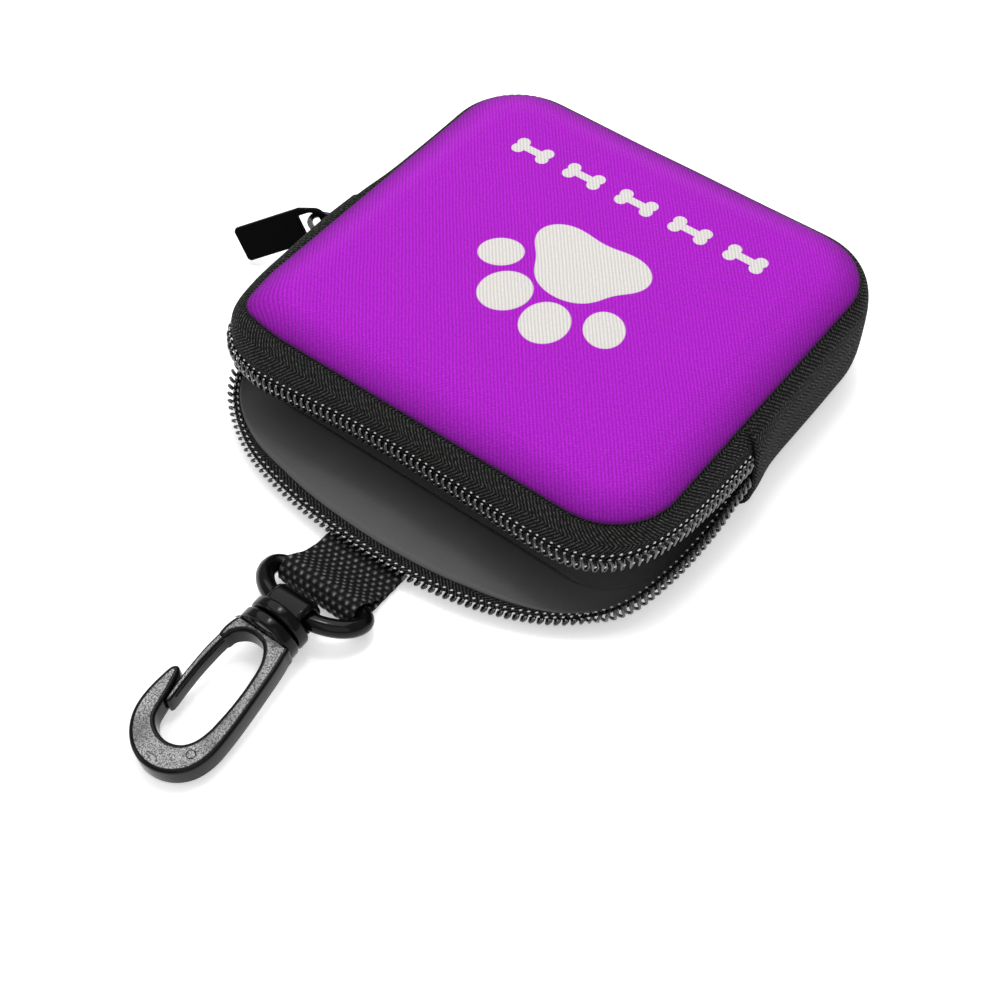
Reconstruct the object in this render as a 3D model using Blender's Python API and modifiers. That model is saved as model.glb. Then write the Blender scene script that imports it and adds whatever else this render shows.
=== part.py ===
"""Square zip treat pouch lying on its back, mouth open, with a webbing tab, ring and swivel snap hook.

Metres, +Z up. Origin at the centre of the back panel's underside. +X runs along the mouth, -Y out of the mouth.
"""
import math

import bpy
from mathutils import Matrix, Vector

MM = 0.001

# Driving dimensions, in millimetres.
PANEL_W = 96.0
PANEL_D = 88.7
PANEL_R = 13.8
SEAM_Z = 25.0
CROWN = 3.0
DOME = 0.7
PANEL_T = 1.0
FOAM_T = 1.9
LINING_T = 0.5
GAP = 0.3
FLEX_Y = -14.0
FLEX_Z = 29.3
GUSSET_Y = -3.3
GUSSET_BULGE = 4.2
TAPE_T = 0.7
COIL_R = 1.1
WEB_HALF = 9.0
WEB_T = 1.4
BAR = (0.0, -74.0, 3.4)
CORD_R = 1.8
RING_LEN = 9.59
RING_HALF = 11.2
RING_TILT = -20.1
EYE = (0.0, -83.0, 6.7)
HOOK_TILT = 5.9
HOOK_T = 4.8
SLIDER_Y = -8.4
SLIDER_Z = 14.1
CHAIN_X = -51.5
BAIL_Z = 15.0
TAB_PIN = (-58.0, -7.0, 15.0)
TAB_LEN = 22.2
TAB_W = 7.9
TAB_T = 1.2
TAB_DIR = (-0.778, -0.382, -0.499)
TAB_ACROSS = (-0.567, 0.084, 0.819)
GATE_PIN = (-4.9, -10.7)

# Centre lines of the two rows of zipper coil, from the left end of the zip round the mouth to the right end.
UPPER = [
    (-51.5, -3.9, 15.4), (-51.5, -13.0, 16.2), (-51.5, -26.0, 16.0), (-51.6, -36.0, 15.6),
    (-50.6, -42.6, 15.5), (-48.0, -45.6, 15.5), (-44.4, -47.9, 15.6), (-37.0, -49.6, 15.8),
    (-29.4, -49.5, 16.2), (-21.1, -48.9, 16.5), (-14.2, -48.3, 16.5), (-4.9, -47.9, 16.5),
    (6.0, -47.9, 16.5), (18.0, -48.2, 16.5), (30.0, -48.6, 16.6), (38.2, -47.9, 16.9),
    (43.6, -45.3, 17.2), (47.6, -40.2, 17.3), (49.8, -32.2, 17.1), (50.6, -23.0, 16.7),
    (50.8, -14.0, 16.2), (50.8, -3.9, 15.6),
]
LOWER = [
    (-51.5, -3.9, 12.8), (-51.5, -13.0, 11.8), (-51.5, -26.0, 11.2), (-51.4, -36.0, 9.6),
    (-49.5, -46.0, 6.6), (-44.0, -53.0, 4.8), (-34.0, -58.5, 4.1), (-22.0, -61.3, 3.9),
    (-9.0, -62.6, 3.9), (6.0, -62.6, 3.9), (20.0, -60.8, 3.9), (32.0, -57.0, 4.1),
    (41.0, -51.5, 4.6), (47.3, -43.5, 5.6), (50.3, -33.0, 7.4), (51.4, -22.0, 9.6),
    (51.2, -13.0, 11.6), (50.8, -3.9, 13.0),
]
SEAM_TOP = -0.8, 23.5
SEAM_LOW = -0.8, 2.1


def clear_scene():
    for thing in list(bpy.data.objects):
        bpy.data.objects.remove(thing, do_unlink=True)


def new_collection(name):
    made = bpy.data.collections.new(name)
    bpy.context.scene.collection.children.link(made)
    return made


def material(name, colour, rough, metal=0.0):
    made = bpy.data.materials.new(name)
    made.use_nodes = True
    shader = made.node_tree.nodes["Principled BSDF"]
    shader.inputs["Base Color"].default_value = (*colour, 1.0)
    shader.inputs["Roughness"].default_value = rough
    shader.inputs["Metallic"].default_value = metal
    return made


def finish(thing, name, mat, origin=(0.0, 0.0, 0.0)):
    """Names the piece, puts its origin on its joint and gives it its material."""
    thing.name = name
    thing.data.name = name
    thing.data.transform(Matrix.Translation(-Vector(origin) * MM))
    thing.location = Vector(origin) * MM
    thing.data.materials.clear()
    thing.data.materials.append(mat)
    for home in list(thing.users_collection):
        home.objects.unlink(thing)
    PARTS.objects.link(thing)
    return thing


def mesh_object(name, points, faces):
    mesh = bpy.data.meshes.new(name)
    mesh.from_pydata([Vector(p) * MM for p in points], [], faces)
    mesh.update()
    made = bpy.data.objects.new(name, mesh)
    bpy.context.scene.collection.objects.link(made)
    return made


def mesh_of(thing):
    """The object's evaluated mesh as a plain mesh object, with the source removed."""
    bpy.context.view_layer.update()
    graph = bpy.context.evaluated_depsgraph_get()
    mesh = bpy.data.meshes.new_from_object(thing.evaluated_get(graph))
    mesh.transform(thing.matrix_world)
    made = bpy.data.objects.new(thing.name + "_mesh", mesh)
    bpy.context.scene.collection.objects.link(made)
    bpy.context.view_layer.objects.active = made
    made.select_set(True)
    bpy.ops.object.mode_set(mode="EDIT")
    bpy.ops.mesh.select_all(action="SELECT")
    bpy.ops.mesh.remove_doubles(threshold=0.000001)
    bpy.ops.mesh.normals_make_consistent(inside=False)
    bpy.ops.object.mode_set(mode="OBJECT")
    made.select_set(False)
    bpy.data.objects.remove(thing, do_unlink=True)
    return made


def plate(outlines, half, bevel=0.0, matrix=None, offset=True):
    """A flat plate: closed outlines in the local XY plane, extruded both ways along Z."""
    curve = bpy.data.curves.new("plate", "CURVE")
    curve.dimensions = "2D"
    curve.fill_mode = "BOTH"
    curve.extrude = (half - bevel) * MM
    curve.bevel_depth = bevel * MM
    curve.bevel_resolution = 1
    curve.offset = -bevel * MM if offset else 0.0
    for outline in outlines:
        spline = curve.splines.new("POLY")
        spline.points.add(len(outline) - 1)
        for point, (x, y) in zip(spline.points, outline):
            point.co = (x * MM, y * MM, 0.0, 1.0)
        spline.use_cyclic_u = True
    made = bpy.data.objects.new("plate", curve)
    bpy.context.scene.collection.objects.link(made)
    made.matrix_world = matrix or Matrix.Identity(4)
    return mesh_of(made)


def tube(path, radius, cyclic=False, matrix=None, resolution=2):
    curve = bpy.data.curves.new("tube", "CURVE")
    curve.dimensions = "3D"
    curve.bevel_depth = radius * MM
    curve.bevel_resolution = resolution
    curve.use_fill_caps = not cyclic
    spline = curve.splines.new("POLY")
    spline.points.add(len(path) - 1)
    for point, place in zip(spline.points, path):
        point.co = (*(Vector(place) * MM), 1.0)
    spline.use_cyclic_u = cyclic
    made = bpy.data.objects.new("tube", curve)
    bpy.context.scene.collection.objects.link(made)
    made.matrix_world = matrix or Matrix.Identity(4)
    return mesh_of(made)


def block(size, centre, matrix=None):
    bpy.ops.mesh.primitive_cube_add(size=1.0)
    made = bpy.context.active_object
    shape = Matrix.Diagonal((*(s * MM for s in size), 1.0))
    made.data.transform(Matrix.Translation(Vector(centre) * MM) @ shape)
    if matrix:
        made.data.transform(matrix)
    return made


def drum(radius, length, centre, axis, matrix=None, sides=32):
    bpy.ops.mesh.primitive_cylinder_add(vertices=sides, radius=radius * MM, depth=length * MM)
    made = bpy.context.active_object
    turn = Vector((0, 0, 1)).rotation_difference(Vector(axis)).to_matrix().to_4x4()
    made.data.transform(Matrix.Translation(Vector(centre) * MM) @ turn)
    if matrix:
        made.data.transform(matrix)
    return made


def combine(base, others, operation):
    """Joins helpers to a solid, or cuts them out of it, and keeps the helpers as hidden cutters."""
    for other in others:
        step = base.modifiers.new(operation.lower(), "BOOLEAN")
        step.operation = operation
        step.solver = "EXACT"
        step.object = other
        other.name = "cutter"
        other.hide_render = True
        other.display_type = "WIRE"
        for home in list(other.users_collection):
            home.objects.unlink(other)
        CUTTERS.objects.link(other)
    return base


def spline_points(controls, count):
    """Even points on a smooth curve through the control points."""
    pts = [Vector(c) for c in controls]
    pts = [pts[0] * 2 - pts[1]] + pts + [pts[-1] * 2 - pts[-2]]
    dense = []
    for i in range(1, len(pts) - 2):
        a, b, c, d = pts[i - 1: i + 3]
        for k in range(24):
            t = k / 24
            dense.append(
                0.5 * (2 * b + (c - a) * t + (2 * a - 5 * b + 4 * c - d) * t ** 2
                       + (3 * b - a - 3 * c + d) * t ** 3)
            )
    dense.append(pts[-2])
    return even(dense, count)


def even(dense, count):
    lengths = [0.0]
    for a, b in zip(dense, dense[1:]):
        lengths.append(lengths[-1] + (b - a).length)
    out = []
    j = 0
    for i in range(count):
        want = lengths[-1] * i / (count - 1)
        while j < len(dense) - 2 and lengths[j + 1] < want:
            j += 1
        span = lengths[j + 1] - lengths[j]
        out.append(dense[j].lerp(dense[j + 1], min(1.0, (want - lengths[j]) / span)))
    return out


def stretch(path, low, high, count):
    """The part of a path that lies between two Y values, evened out."""
    return even([p for p in path if low <= p.y <= high], count)


def edge_of_panel(point):
    """The nearest point of the panel's outline and the outward direction there."""
    cx = PANEL_W / 2 - PANEL_R
    cy = PANEL_D / 2 - PANEL_R
    x, y = point[0], point[1]
    core = Vector((max(-cx, min(cx, x)), max(-cy, min(cy, y))))
    out = Vector((x, y)) - core
    if out.length < 1e-6:
        out = Vector((math.copysign(1.0, x), 0.0))
    out.normalize()
    return core + out * PANEL_R, out


def inset(x, y):
    """Distance inward from the panel's outline."""
    qx = abs(x) - (PANEL_W / 2 - PANEL_R)
    qy = abs(y) - (PANEL_D / 2 - PANEL_R)
    return PANEL_R - math.hypot(max(qx, 0), max(qy, 0)) - min(max(qx, qy), 0)


def top_of_panel(x, y):
    d = max(0.0, min(1.0, inset(x, y) / 10.5))
    dome = (1 - (x / PANEL_W * 2) ** 2) * (1 - (y / PANEL_D * 2) ** 2)
    return SEAM_Z + CROWN * (1 - (1 - d) ** 2) + DOME * max(0.0, dome)


def half_width(y, margin):
    """Half the panel's width at this Y, with the outline moved in by the margin."""
    w, d, r = PANEL_W / 2 - margin, PANEL_D / 2 - margin, PANEL_R - margin
    over = max(0.0, abs(y) - (d - r))
    return w - r + math.sqrt(max(0.0, r * r - over * over))


def sheet_rows(y0, y1, margin, rows, cols, drop):
    """A grid over part of the crowned panel, lowered by drop."""
    low, high = -PANEL_D / 2 + margin, PANEL_D / 2 - margin
    points = []
    for i in range(rows):
        t = i / (rows - 1)
        if y0 < low:
            t = 1 - math.cos(t * math.pi / 2)
        if y1 > high:
            t = math.sin(t * math.pi / 2)
        a, b = max(y0, low), min(y1, high)
        y = a + (b - a) * t
        w = half_width(y, margin)
        for j in range(cols):
            x = w * math.sin((j / (cols - 1) - 0.5) * math.pi)
            x = 0.6 * x + 0.4 * w * (2 * j / (cols - 1) - 1)
            points.append((x, y, top_of_panel(x, y) - drop))
    return points, grid_faces(rows, cols)


def grid_faces(rows, cols):
    return [
        (i * cols + j, i * cols + j + 1, (i + 1) * cols + j + 1, (i + 1) * cols + j)
        for i in range(rows - 1)
        for j in range(cols - 1)
    ]


def thicken(thing, thickness, side):
    wall = thing.modifiers.new("wall", "SOLIDIFY")
    wall.thickness = thickness * MM
    wall.offset = side
    wall.use_even_offset = True
    return thing


def crowned_layer(name, mat, y0, y1, margin, drop, thickness, rows, cols, origin):
    points, faces = sheet_rows(y0, y1, margin, rows, cols, drop)
    made = mesh_object(name, points, faces)
    finish(made, name, mat, origin)
    return thicken(made, thickness, -1.0)


def strip(name, mat, sections, thickness, side, origin=(0, 0, 0)):
    """A lofted band: one row of points per station, thickened."""
    cols = len(sections[0])
    points = [p for row in sections for p in row]
    made = mesh_object(name, points, grid_faces(len(sections), cols))
    finish(made, name, mat, origin)
    return thicken(made, thickness, side)


def bow(a, c, b, count):
    """Points on a quadratic arc from a to b, pulled toward c."""
    out = []
    for i in range(count):
        t = i / (count - 1)
        out.append(a * (1 - t) ** 2 + c * 2 * t * (1 - t) + b * t * t)
    return out


def upper_sections(path):
    """Upper tape: out from under the panel's rim, over a round shoulder and down to its coil."""
    rows = []
    for p in path:
        edge, out = edge_of_panel(p)
        seam = Vector((*(edge + out * SEAM_TOP[0]), SEAM_TOP[1]))
        side = Vector((*out, 0.0))
        tip = p + Vector((0, 0, COIL_R + GAP)) - side * 0.05
        mid = seam + side * ((tip - seam).dot(side) + 1.2) + Vector((0, 0, -0.6))
        rows.append(bow(seam, mid, tip, 6))
    return rows


def lower_sections(path, lift=0.0, start=0.0, end=1.0, count=6):
    """Lower tape: out from the back panel's rim to its coil, lying nearly flat at the front."""
    rows = []
    for p in path:
        edge, out = edge_of_panel(p)
        seam = Vector((*(edge + out * SEAM_LOW[0]), SEAM_LOW[1]))
        side = Vector((*out, 0.0))
        reach = (p - seam).dot(side)
        flat = max(0.0, min(1.0, (reach - 5.0) / 12.0))
        back = (Vector((0, 0, -1.0)) * (1 - flat) - side * flat).normalized()
        tip = p + back * (COIL_R + GAP)
        mid = seam + side * (reach * (1 - 0.72 * flat) + 0.8 * (1 - flat)) + Vector((0, 0, 0.9 + 0.6 * flat))
        arc = bow(seam, mid, tip, 13)
        row = []
        for i in range(count):
            at = (start + (end - start) * i / (count - 1)) * 12
            k = min(11, int(at))
            here = arc[k].lerp(arc[k + 1], at - k)
            ahead = (arc[min(12, k + 2)] - arc[max(0, k - 1)]).normalized()
            inward = Vector((-ahead.z * side.x, -ahead.z * side.y, ahead.dot(side)))
            row.append(here + inward * lift)
        rows.append(row)
    return rows


def gusset_path(count):
    """Stations of the wall from the left end of the zip round the back to the right end."""
    half_w, half_d, r = PANEL_W / 2, PANEL_D / 2, PANEL_R
    dense = [Vector((-half_w, GUSSET_Y + (half_d - r - GUSSET_Y) * i / 20, 0)) for i in range(20)]
    for i in range(25):
        a = math.pi - math.pi / 2 * i / 24
        dense.append(Vector((-half_w + r + r * math.cos(a), half_d - r + r * math.sin(a), 0)))
    for i in range(1, 30):
        dense.append(Vector(((half_w - r) * (2 * i / 30 - 1), half_d, 0)))
    dense += [Vector((-p.x, p.y, 0)) for p in reversed(dense[:45])]
    return even(dense, count)


def gusset_sections(path, drop, margin):
    rows = []
    for p in path:
        edge, out = edge_of_panel(p)
        row = []
        for i in range(9):
            t = i / 8
            swell = (1 - abs(2 * t - 1) ** 3.2) * (GUSSET_BULGE + 0.8 - drop)
            at = edge + out * (SEAM_TOP[0] + swell)
            row.append(Vector((*at, SEAM_TOP[1] - margin + (SEAM_LOW[1] - SEAM_TOP[1] + 2 * margin) * t)))
        rows.append(row)
    return rows


def rounded(width, depth, radius, steps=8):
    out = []
    for k in range(4):
        cx = (width / 2 - radius) * (1 if k in (0, 3) else -1)
        cy = (depth / 2 - radius) * (1 if k in (0, 1) else -1)
        for i in range(steps + 1):
            a = math.pi / 2 * (k + i / steps)
            out.append((cx + radius * math.cos(a), cy + radius * math.sin(a)))
    return out


def arc(cx, cy, r, a0, a1, steps):
    out = []
    for i in range(steps + 1):
        a = math.radians(a0 + (a1 - a0) * i / steps)
        out.append((cx + r * math.cos(a), cy + r * math.sin(a)))
    return out


def frame_at(origin, tilt):
    """Places a shape drawn with its own origin at a joint, tipped about X."""
    return Matrix.Translation(Vector(origin) * MM) @ Matrix.Rotation(math.radians(tilt), 4, "X")


clear_scene()
PARTS = new_collection("treat_pouch")
CUTTERS = new_collection("cutters")

PURPLE = material("knit_purple", (0.42, 0.018, 0.56), 0.72)
FOAM = material("foam", (0.05, 0.05, 0.055), 0.95)
LINING = material("lining_grey", (0.035, 0.035, 0.038), 0.55)
TWILL = material("gusset_twill", (0.012, 0.012, 0.012), 0.8)
TAPE = material("zipper_tape", (0.014, 0.014, 0.014), 0.8)
COIL = material("zipper_coil", (0.01, 0.01, 0.01), 0.28)
METAL = material("slider_black", (0.012, 0.012, 0.013), 0.35, 0.6)
TABMAT = material("pull_tab_black", (0.01, 0.01, 0.01), 0.5)
WEB = material("webbing_black", (0.012, 0.012, 0.012), 0.75)
RINGMAT = material("ring_black", (0.01, 0.01, 0.01), 0.2)
HOOKMAT = material("hook_black", (0.015, 0.015, 0.016), 0.3)
BACK = material("back_twill", (0.014, 0.014, 0.014), 0.8)

FLEX = (0.0, FLEX_Y, FLEX_Z)
REAR = (FLEX_Y + GAP / 2 + 0.02, 100.0)
MOUTH = (-100.0, FLEX_Y - GAP / 2 - 0.02)
FOAM_DROP = PANEL_T + GAP
LINING_DROP = FOAM_DROP + FOAM_T + GAP

# Back of the pouch.
back = plate([rounded(PANEL_W - 0.6, PANEL_D - 0.6, PANEL_R)], 0.6, 0.25)
back.data.transform(Matrix.Translation((0, 0, 0.6 * MM)))
finish(back, "back_panel", BACK)
lining = plate([rounded(PANEL_W - 4.0, PANEL_D - 4.0, PANEL_R - 2)], LINING_T / 2)
lining.data.transform(Matrix.Translation((0, 0, 1.75 * MM)))
finish(lining, "back_lining", LINING)

# Front panel: knit face, foam and lining, each in a rear half and a half that lifts with the mouth.
for where, span, origin, rows in (("rear", REAR, (0, 0, 0), 17), ("mouth", MOUTH, FLEX, 11)):
    lo, hi = span
    crowned_layer("front_panel_" + where, PURPLE, lo, hi, 0.0, 0.0, PANEL_T, rows, 23, origin)
    crowned_layer("front_foam_" + where, FOAM, lo, hi, 2.6, FOAM_DROP, FOAM_T, rows - 5, 15, origin)
    crowned_layer("front_lining_" + where, LINING, lo, hi, 2.2, LINING_DROP, LINING_T, rows - 5, 15, origin)

# Side and back wall.
wall = gusset_path(47)
strip("gusset", TWILL, gusset_sections(wall, 0.0, 0.0), 0.8, 0.0)
strip("gusset_lining", LINING, gusset_sections(wall, 1.35, 1.2), 0.45, 0.0)

# Upper row of the zip. Its two ends stay with the gusset, the rest lifts with the mouth.
upper = spline_points(UPPER, 400)
mouth_path = stretch(upper, -100, FLEX_Y - 0.3, 58)
strip("upper_zipper_tape", TAPE, upper_sections(mouth_path), TAPE_T, 0.0, FLEX)
finish(tube(mouth_path, COIL_R), "upper_zipper_coil", COIL, FLEX)
for side, sign in (("left", -1), ("right", 1)):
    end = stretch([p for p in upper if p.x * sign > 0], FLEX_Y + 0.3, 0.0, 5)
    if end[0].y > end[-1].y:
        end.reverse()
    end = end if sign > 0 else end[::-1]
    strip("upper_tape_end_" + side, TAPE, upper_sections(end), TAPE_T, 0.0)
    finish(tube(end, COIL_R), "upper_coil_end_" + side, COIL)

# Lower row of the zip, in one piece from end to end, with lining on its inner face.
lower = spline_points(LOWER, 66)
strip("lower_zipper_tape", TAPE, lower_sections(lower), TAPE_T, 0.0)
finish(tube(lower, COIL_R), "lower_zipper_coil", COIL)
inner = spline_points(LOWER, 200)
inner = stretch(inner, -100, -14.0, 40)
strip("lower_lip_lining", LINING, lower_sections(inner, 0.95, 0.12, 0.8, 6), 0.4, 0.0)

# Slider: two plates with a wedge between them at the open end, and rails along the outer plate.
shield = [(-3.4, -4.1), (3.4, -4.1), (4.1, -0.5), (4.2, 3.2), (3.0, 4.2), (-3.0, 4.2), (-4.2, 3.2), (-4.1, -0.5)]
# The outline is drawn as (across the chain, toward the open end), then turned to stand on edge.
stand = Matrix(((0, 0, 1, 0), (0, -1, 0, 0), (1, 0, 0, 0), (0, 0, 0, 1)))
outer_x, inner_x = CHAIN_X - COIL_R - 0.3 - 0.55, CHAIN_X + COIL_R + 0.3 + 0.45
spot = Matrix.Translation(Vector((outer_x, SLIDER_Y, SLIDER_Z)) * MM) @ stand
body = plate([shield], 0.55, 0.15, spot)
spot = Matrix.Translation(Vector((inner_x, SLIDER_Y, SLIDER_Z)) * MM) @ stand
inner_plate = plate([shield], 0.45, 0.1, spot)
wedge = block((3.6, 1.7, 1.2), (CHAIN_X - 0.05, SLIDER_Y - 3.2, SLIDER_Z - 0.1))
rails = [block((1.0, 5.0, 0.5), (outer_x + 0.6, SLIDER_Y - 0.6, SLIDER_Z + s * 3.9)) for s in (-1, 1)]
arch = [(outer_x + 0.2, SLIDER_Y + 3.6, BAIL_Z)]
for i in range(13):
    a = math.pi * i / 12
    arch.append((outer_x - 1.4 - 5.4 * math.sin(a), SLIDER_Y + 0.6 + 3.0 * math.cos(a), BAIL_Z))
arch.append((outer_x + 0.2, SLIDER_Y - 2.4, BAIL_Z))

bail = tube(arch, 0.65, resolution=1)
combine(body, [inner_plate, wedge, *rails, bail], "UNION")
body = mesh_of(body)
finish(body, "zipper_slider", METAL, (CHAIN_X, SLIDER_Y, SLIDER_Z))

# Pull tab, drawn flat with its pin end at its own origin.
along, across = Vector(TAB_DIR).normalized(), Vector(TAB_ACROSS)
across = (across - along * across.dot(along)).normalized()
normal = along.cross(across)
turn = Matrix((along, across, normal)).transposed().to_4x4()
half = TAB_W / 2
outline = arc(2.2, 0.0, half - 0.9, 115, 245, 10)
outline = [(x * 1.0 - 0.2, y) for x, y in outline]
outline += [(4.6, -half), (TAB_LEN - 0.6, -half), (TAB_LEN, -half + 0.6), (TAB_LEN, half - 0.6)]
outline += [(TAB_LEN - 0.6, half), (4.6, half)]
window = arc(2.6, 0.0, 2.4, 100, 260, 10) + [(5.0, -2.4), (5.5, -1.9), (5.5, 1.9), (5.0, 2.4)]
tab = plate([outline, window], TAB_T / 2, 0.15, Matrix.Translation(Vector(TAB_PIN) * MM) @ turn)
finish(tab, "pull_tab", TABMAT, TAB_PIN)

# Webbing tab, doubled round the ring's bar: the outline is drawn in the YZ plane.
by, bz = BAR[1], BAR[2]
inner_r = CORD_R + 0.3
outer_r = inner_r + 0.85
side_view = [(-49.0, 0.3), (-70.0, 0.3), (by + 0.6, bz - outer_r)]
side_view += arc(by, bz, outer_r, 265, 75, 16)
side_view += [(-69.4, 3.0), (-66.0, 0.3 + WEB_T), (-49.0, 0.3 + WEB_T)]
hole = arc(by, bz, inner_r, 285, 55, 16) + [(by + 3.4, 2.2)]
upright = Matrix(((0, 0, 1, 0), (1, 0, 0, 0), (0, 1, 0, 0), (0, 0, 0, 1)))
finish(plate([side_view, hole], WEB_HALF, 0.0, upright), "webbing_tab", WEB, (0, -49.0, 0.3))

# D-ring, drawn flat with its bar on the local X axis.
ring = [(x, 0.0, 0.0) for x in (-7.5, -4.5, -1.5, 1.5, 4.5, 7.5)]
ring += [(x, y, 0.0) for x, y in arc(RING_HALF - 2.2, -2.2, 2.2, 90, 0, 5)]
ring += [
    (RING_HALF * math.cos(a), -2.2 - (RING_LEN - 2.2) * math.sin(a), 0.0)
    for a in (math.pi * i / 24 for i in range(1, 24))
]
ring += [(x, y, 0.0) for x, y in arc(-RING_HALF + 2.2, -2.2, 2.2, 180, 90, 5)]
finish(tube(ring, CORD_R, True, frame_at(BAR, RING_TILT)), "d_ring", RINGMAT, BAR)

# Swivel eye: a rounded eye on a round collar, with a hole for the ring and a seat for the hook's post.
lay = frame_at(EYE, HOOK_TILT)
collar = drum(6.1, 2.6, (0, -2.9, 0), (0, 1, 0), lay)
eye = drum(3.7, 8.4, (0, 0, 0), (1, 0, 0), lay)
neck = block((8.4, 3.0, 6.8), (0, -1.0, 0), lay)
combine(collar, [eye, neck], "UNION")
hole = drum(2.5, 16.0, (0, 0, 0), (1, 0, 0), lay, 28)
seat = drum(2.5, 2.0, (0, -4.25, 0), (0, 1, 0), lay, 28)
combine(collar, [hole, seat], "DIFFERENCE")
eye = mesh_of(collar)
finish(eye, "swivel_eye", HOOKMAT, EYE)

# Snap hook, drawn flat in its own XY plane with the swivel's axis along -Y.
hook = [(-5.6, -6.6), (-6.3, -8.0), (-6.1, -9.3), (-3.5, -9.3)]
hook += [(-2.4, -9.1), (-0.6, -9.4), (0.9, -10.4), (2.0, -12.0), (2.8, -14.2), (3.4, -18.0), (4.0, -22.5)]
hook += arc(0.0, -27.6, 4.6, 0, -180, 16)
hook += [(-4.95, -24.0), (-5.6, -21.6), (-5.8, -20.4)]
hook += arc(-7.1, -20.3, 1.35, 0, 180, 8)
hook += [(-8.75, -24.0)]
hook += arc(-0.35, -30.1, 8.3, 178, 360, 26)
hook += [(7.75, -24.0), (7.1, -18.0), (6.5, -12.5), (6.2, -9.0), (5.6, -6.6)]
body = plate([hook], HOOK_T / 2, 0.5, lay)
ring_collar = drum(6.2, 2.5, (0, -5.75, 0), (0, 1, 0), lay)
post = drum(2.3, 2.2, (0, -4.65, 0), (0, 1, 0), lay, 28)
combine(body, [ring_collar, post], "UNION")
body = mesh_of(body)
finish(body, "hook_body", HOOKMAT, EYE)

# Spring gate, drawn in the hook's plane and turning at its root.
gx, gy = GATE_PIN
gate = arc(gx, gy, 1.05, 0, 180, 8)
gate += [(gx - 0.9, gy - 3.0), (-5.0, -19.0), (-4.3, -24.0), (-4.05, -25.9), (-3.5, -26.9), (-2.7, -26.7)]
gate += [(-2.3, -25.6), (-2.7, -20.0), (gx + 1.1, gy - 3.0)]
pin = lay @ Vector((gx * MM, gy * MM, 0.0))
finish(plate([gate], HOOK_T / 2 - 0.2, 0.3, lay), "hook_gate", HOOKMAT, pin / MM)

for thing in PARTS.objects:
    for face in thing.data.polygons:
        face.use_smooth = False
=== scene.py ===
import math

import bmesh
import bpy
from mathutils import Matrix, Vector, noise


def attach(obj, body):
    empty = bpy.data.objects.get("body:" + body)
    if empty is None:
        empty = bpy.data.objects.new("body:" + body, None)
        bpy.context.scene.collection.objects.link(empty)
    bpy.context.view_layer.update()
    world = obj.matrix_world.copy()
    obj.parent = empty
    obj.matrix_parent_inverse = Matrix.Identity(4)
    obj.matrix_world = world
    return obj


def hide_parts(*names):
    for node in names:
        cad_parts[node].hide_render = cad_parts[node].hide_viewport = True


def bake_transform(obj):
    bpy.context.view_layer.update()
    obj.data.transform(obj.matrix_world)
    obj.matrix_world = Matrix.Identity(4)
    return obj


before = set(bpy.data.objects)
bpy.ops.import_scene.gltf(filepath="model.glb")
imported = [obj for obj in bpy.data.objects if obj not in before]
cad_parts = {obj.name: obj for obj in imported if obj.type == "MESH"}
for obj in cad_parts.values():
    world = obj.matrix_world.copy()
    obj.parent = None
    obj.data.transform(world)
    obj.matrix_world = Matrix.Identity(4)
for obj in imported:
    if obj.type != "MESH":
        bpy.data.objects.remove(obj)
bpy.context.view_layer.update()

MM = 0.001

# Dimensions in millimetres, as in the CAD. A seam is (out from the panel's edge, height).
PANEL_W, PANEL_D, PANEL_R = 96.0, 88.7, 13.8
SEAM_Z, CROWN, DOME = 25.0, 3.0, 0.7
SEAM_TOP, SEAM_LOW = (-0.8, 23.5), (-0.8, 2.1)
BAR, CORD_R, RING_LEN, RING_HALF, RING_TILT = (0.0, -74.0, 3.4), 1.8, 9.59, 11.2, -20.1
EYE, HOOK_TILT, HOOK_T = (0.0, -83.0, 6.7), 5.9, 4.8
GATE_PIN = (-4.9, -10.7)

# The visual model's own dimensions, in millimetres.
HEM_LEFT, HEM_RIGHT = -3.3, -8.2  # y of the gusset's two ends, over the zip
PITCH = 1.55  # one turn of the zip's coil
TAPE_T, TAPE_COLS = 0.6, 18
WEAVE_U, WEAVE_V = 1.6, 1.3  # the webbing's repeat, across and along
WEBBING_HALF = 9.0
SWELL_MOST = 0.7  # how far the cloth simulation may move the panel
CORNER, CORNER_OUT, CORNER_REACH = Vector((-44.0, -40.3)), 2.5, 5.0

# The knit: its repeats in millimetres, the turn of its columns, and how far in from its seam the painted shade
# reaches.
WALE, COURSE, KNIT_TURN, SEAM_PAINTED_SHADE = 0.69, 0.62, math.radians(-50.5), 6.4
# The print, in millimetres on the panel. Toes are (x, y, half width, half height, turn).
# The pad's lumps are (x, y, half width, half height, weight).
TOES = (
    (-12.6, -3.2, 3.9, 4.7, -0.94), (-5.4, -11.3, 5.2, 5.7, -0.38),
    (5.9, -13.5, 5.0, 5.6, 0.16), (16.1, -8.1, 4.1, 4.8, 0.66),
)
PAD_LUMPS = (
    (3.0, -1.0, 9.3, 7.0, 1.0), (-4.1, 6.5, 7.2, 5.9, 1.0),
    (10.1, 6.8, 7.2, 5.9, 1.0), (3.0, 4.8, 6.8, 5.9, 0.9),
)
BONES, BONE_X, BONE_STEP, BONE_Y = 5, -25.9, 13.2, 25.0

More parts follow.
